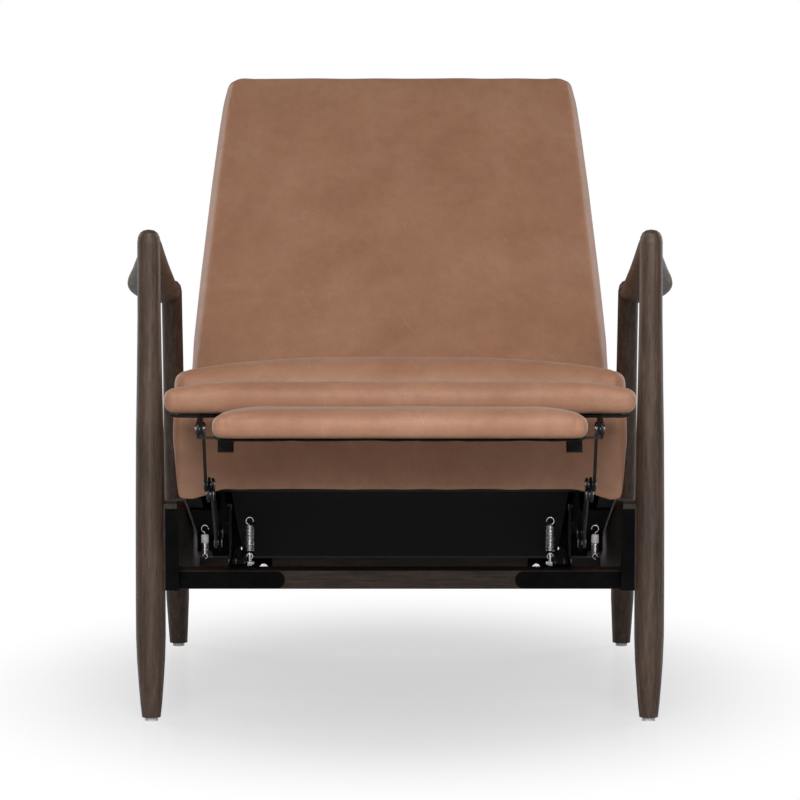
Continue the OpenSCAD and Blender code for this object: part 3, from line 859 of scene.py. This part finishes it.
def wire(name, points, radius, stands_for=()):
    """A round zinc-plated wire on the frame, along points from the front legs' centre plane."""
    rings = []
    path = [Vector((x * MM, LEG_Y + y * MM, z * MM)) for x, y, z in points]
    normal = None
    for i, here in enumerate(path):
        ahead = path[min(i + 1, len(path) - 1)] - path[max(i - 1, 0)]
        ahead.normalize()
        if normal is None:
            normal = ahead.orthogonal().normalized()
        normal = (normal - ahead * normal.dot(ahead)).normalized()
        other = ahead.cross(normal)
        for step in range(WIRE_SIDES):
            turn = 2 * math.pi * step / WIRE_SIDES
            offset = (normal * math.cos(turn) + other * math.sin(turn)) * radius * MM
            rings.append((here + offset) / MM)
    piece = mesh_object(name, rings, tube_faces(len(path), WIRE_SIDES), ZINC)
    fit(piece, "frame", "zinc", *stands_for)


def coil(x, y, low, high, radius, pitch):
    """Points of a helix standing on (x, y)."""
    turns = (high - low) / pitch
    count = int(turns * COIL_STEPS)
    return [(x + radius * math.cos(2 * math.pi * turns * i / count),
             y + radius * math.sin(2 * math.pi * turns * i / count),
             low + (high - low) * i / count) for i in range(count + 1)]


def hook(x, y, low, radius, lean):
    """Points of a wire that leaves a spring and turns over in an open loop."""
    stem = [(x, y, low - 2), (x, y, low + 2)]
    centre = low + 2 + radius
    loop = [(x + lean * radius * math.sin(a), y, centre - radius * math.cos(a))
            for a in [math.pi * step / 10 for step in range(17)]]
    return stem + loop[1:]


def keep_crisp(piece, degrees=35):
    """Keeps edges sharper than the angle crisp."""
    limit = math.radians(degrees)
    shape = bmesh.new()
    shape.from_mesh(piece.data)
    for line in shape.edges:
        line.smooth = len(line.link_faces) == 2 and line.calc_face_angle() < limit
    shape.to_mesh(piece.data)
    shape.free()


def turned(name, x, y, profile, material, slot):
    """A round piece of the frame on a vertical axis, from (radius, height) points."""
    points = []
    for radius, z in profile:
        for step in range(TURNED_SIDES):
            turn = 2 * math.pi * step / TURNED_SIDES
            across, along = x + radius * math.cos(turn), y + radius * math.sin(turn)
            points.append(Vector((across, along + LEG_Y / MM, z)))
    piece = mesh_object(name, points, tube_faces(len(profile), TURNED_SIDES), material)
    keep_crisp(piece)
    fit(piece, "frame", slot)


SPRING_Y = 46
MAIN_SPRING_X = 198
SIDE_SPRING_X = 257
MAIN_COIL = (218, 252, 4.9, 1.9)    # low end, high end, radius and pitch
SIDE_COIL = (214, 229, 3.9, 1.7)
# (radius, height) outlines
EYE_BOLT = [(0.1, 196), (2.4, 196.2), (2.4, 201), (4.6, 201.4), (4.6, 204), (2.4, 204.4),
            (2.4, 214), (0.1, 214.4)]
BUSHING = [(0.1, 228), (4.2, 228.3), (5.0, 229.5), (5.0, 238), (4.2, 240), (0.1, 240.2)]

for side, mark in ((1, "l"), (-1, "r")):
    inner, outer = side * MAIN_SPRING_X, side * SIDE_SPRING_X
    wire("main_spring_" + mark, coil(inner, SPRING_Y, *MAIN_COIL), 1.1,
         stands_for=("tension_springs",) if side == 1 else ())
    wire("main_spring_hook_" + mark, hook(inner, SPRING_Y, 251, 4.9, side), 0.9)
    wire("main_spring_tail_" + mark, hook(inner, SPRING_Y, 205, 4.0, -side)[::-1], 0.9)
    turned("eye_bolt_" + mark, inner, SPRING_Y, EYE_BOLT, ZINC, "zinc")
    turned("spring_bushing_" + mark, outer, SPRING_Y, BUSHING, NYLON, "glide_plastic")
    wire("side_spring_" + mark, coil(outer, SPRING_Y, *SIDE_COIL), 0.95)
    wire("side_spring_hook_" + mark, hook(outer, SPRING_Y, 241, 4.6, side), 0.8)
    wire("side_spring_tail_" + mark, hook(outer, SPRING_Y, 206, 3.0, -side)[::-1], 0.75)


# ---- floor, light and camera, in metres ----

FLOOR_SIZE = 30.0
WHITE = (1, 1, 1, 1)
AMBIENT = 0.20    # strength of the surroundings as a light


def floor():
    """Pale glossy floor that fades to the white of the surroundings."""
    mesh = bpy.data.meshes.new("floor")
    corners = [(-1, -1), (1, -1), (1, 1), (-1, 1)]
    mesh.from_pydata([(x * FLOOR_SIZE, y * FLOOR_SIZE, 0) for x, y in corners], [], [(0, 1, 2, 3)])
    made = bpy.data.objects.new("floor", mesh)
    bpy.context.scene.collection.objects.link(made)
    s = Shader("pale_floor")
    glow = s.add("ShaderNodeEmission", {"Color": WHITE, "Strength": 1.0}).outputs[0]
    narrow = s.stretched((1.45, 1.0, 1.0))
    reach = s.add("ShaderNodeVectorMath", {0: narrow}, operation="LENGTH").outputs["Value"]
    spread = {"Value": reach, "From Min": 0.36, "From Max": 0.95, "To Min": 0.56}
    fade = s.add("ShaderNodeMapRange", spread, interpolation_type="SMOOTHSTEP").outputs[0]
    seen = s.add("ShaderNodeLightPath").outputs["Is Camera Ray"]
    s.finish(Base_Color=(0.72, 0.72, 0.725, 1), Roughness=0.18, Specular_IOR_Level=0.4)
    share = s.join("MULTIPLY", fade, seen)
    blend = s.add("ShaderNodeMixShader", {0: share, 1: s.surface.outputs[0], 2: glow})
    s.tree.links.new(blend.outputs[0], s.tree.nodes["Material Output"].inputs["Surface"])
    mesh.materials.append(s.material)


def panel_light(name, place, target, size, watts):
    """Soft rectangular light, turned to a target."""
    data = bpy.data.lights.new(name, "AREA")
    data.shape = "RECTANGLE"
    data.size, data.size_y = size
    data.energy = watts
    made = bpy.data.objects.new(name, data)
    made.location = place
    made.rotation_euler = (Vector(target) - Vector(place)).to_track_quat("-Z", "Y").to_euler()
    bpy.context.scene.collection.objects.link(made)


def surroundings():
    """White to look at, softer as a light."""
    world = bpy.data.worlds.new("studio")
    bpy.context.scene.world = world
    world.use_nodes = True
    tree = world.node_tree
    tree.nodes.clear()
    ray = tree.nodes.new("ShaderNodeLightPath")
    blend = tree.nodes.new("ShaderNodeMixShader")
    out = tree.nodes.new("ShaderNodeOutputWorld")
    tree.links.new(ray.outputs["Is Camera Ray"], blend.inputs[0])
    for slot, strength in ((1, AMBIENT), (2, 1.0)):
        glow = tree.nodes.new("ShaderNodeBackground")
        glow.inputs["Strength"].default_value = strength
        glow.inputs["Color"].default_value = WHITE
        tree.links.new(glow.outputs[0], blend.inputs[slot])
    tree.links.new(blend.outputs[0], out.inputs["Surface"])


CAMERA_BACK = 5.28       # from the front legs
CAMERA_HEIGHT = 0.894
CAMERA_DIP = 5.11        # degrees below level
CAMERA_LENS = 183.2      # focal length in mm


def camera():
    """Long-lens camera straight in front of the chair."""
    data = bpy.data.cameras.new("camera")
    data.sensor_width = 36.0
    data.lens = CAMERA_LENS
    data.clip_end = 100
    made = bpy.data.objects.new("camera", data)
    made.location = (0, LEG_Y - CAMERA_BACK, CAMERA_HEIGHT)
    made.rotation_euler = (math.radians(90 - CAMERA_DIP), 0, 0)
    bpy.context.scene.collection.objects.link(made)
    bpy.context.scene.camera = made


floor()
surroundings()
panel_light("key", (0.0, -3.5, 2.5), target=(0, 0.0, 0.5), size=(2.6, 1.6), watts=118)
panel_light("front_fill", (0.0, -4.6, 0.9), target=(0, 0.0, 0.4), size=(2.2, 1.2), watts=24)
panel_light("rim_left", (-2.4, 1.8, 1.3), target=(0, 0.1, 0.6), size=(1.4, 2.2), watts=34)
panel_light("rim_right", (2.4, 1.8, 1.3), target=(0, 0.1, 0.6), size=(1.4, 2.2), watts=34)
camera()
bpy.context.scene.view_settings.view_transform = "Standard"
